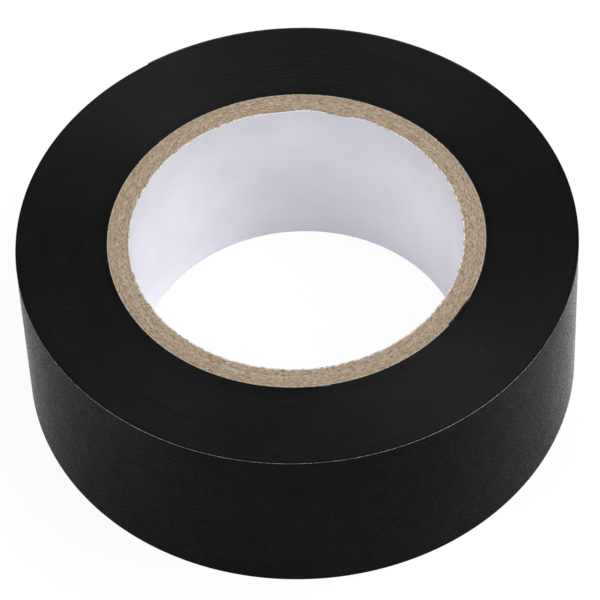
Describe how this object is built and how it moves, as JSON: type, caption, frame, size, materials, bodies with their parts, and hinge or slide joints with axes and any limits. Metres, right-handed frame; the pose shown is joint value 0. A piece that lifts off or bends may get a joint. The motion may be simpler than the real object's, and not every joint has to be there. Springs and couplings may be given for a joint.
{
  "type": "electrical tape roll",
  "caption": "Roll of black insulating tape wound on a spiral-wound paper core with a lined bore; the tape's free end peels off the roll.",
  "frame": {"origin": "on the bore's axis, at the level of the lower side face the roll rests on", "axes": "+Z along the bore's axis, from the lower side face to the upper one; the tape winds outward counterclockwise seen from +Z"},
  "size_m": [0.0549, 0.0551, 0.019],
  "materials": {
    "liner_paper": "matte",
    "chipboard": "matte",
    "wrap_paper": "matte",
    "pvc_film": "satin"
  },
  "bodies": {
    "roll": {"core_liner": "liner_paper", "core_ply_inner": "chipboard", "core_ply_middle": "chipboard", "core_ply_outer": "chipboard", "core_wrap": "wrap_paper", "tape_first_turn": "pvc_film", "tape_winding": "pvc_film", "tape_last_turn": "pvc_film"},
    "tail_1": {"tape_tail_1": "pvc_film"},
    "tail_2": {"tape_tail_2": "pvc_film"},
    "tail_3": {"tape_tail_3": "pvc_film"},
    "tail_4": {"tape_tail_4": "pvc_film"},
    "tail_5": {"tape_tail_5": "pvc_film"},
    "tail_6": {"tape_tail_6": "pvc_film"},
    "tail_7": {"tape_tail_7": "pvc_film"},
    "tail_8": {"tape_tail_8": "pvc_film"}
  },
  "joints": [
    {"name": "tail_peel", "type": "hinge", "parent": "roll", "child": "tail_1", "pos_m": [0.02076, 0.01809, 0.0095], "axis": [0, 0, -1], "range_deg": [0, 45]},
    {"name": "tail_flex_2", "type": "hinge", "parent": "tail_1", "child": "tail_2", "pos_m": [0.01731, 0.02142, 0.0095], "axis": [0, 0, -1], "range_deg": [0, 18]},
    {"name": "tail_flex_3", "type": "hinge", "parent": "tail_2", "child": "tail_3", "pos_m": [0.01333, 0.02411, 0.0095], "axis": [0, 0, -1], "range_deg": [0, 18]},
    {"name": "tail_flex_4", "type": "hinge", "parent": "tail_3", "child": "tail_4", "pos_m": [0.00895, 0.02606, 0.0095], "axis": [0, 0, -1], "range_deg": [0, 18]},
    {"name": "tail_flex_5", "type": "hinge", "parent": "tail_4", "child": "tail_5", "pos_m": [0.00429, 0.02722, 0.0095], "axis": [0, 0, -1], "range_deg": [0, 18]},
    {"name": "tail_flex_6", "type": "hinge", "parent": "tail_5", "child": "tail_6", "pos_m": [-0.0005, 0.02755, 0.0095], "axis": [0, 0, -1], "range_deg": [0, 18]},
    {"name": "tail_flex_7", "type": "hinge", "parent": "tail_6", "child": "tail_7", "pos_m": [-0.00527, 0.02705, 0.0095], "axis": [0, 0, -1], "range_deg": [0, 18]},
    {"name": "tail_flex_8", "type": "hinge", "parent": "tail_7", "child": "tail_8", "pos_m": [-0.00988, 0.02573, 0.0095], "axis": [0, 0, -1], "range_deg": [0, 18]}
  ],
  "couplings": [
    {"joint": "tail_flex_2", "follows": "tail_peel", "ratio": 0.4},
    {"joint": "tail_flex_3", "follows": "tail_peel", "ratio": 0.4},
    {"joint": "tail_flex_4", "follows": "tail_peel", "ratio": 0.4},
    {"joint": "tail_flex_5", "follows": "tail_peel", "ratio": 0.4},
    {"joint": "tail_flex_6", "follows": "tail_peel", "ratio": 0.4},
    {"joint": "tail_flex_7", "follows": "tail_peel", "ratio": 0.4},
    {"joint": "tail_flex_8", "follows": "tail_peel", "ratio": 0.4}
  ]
}
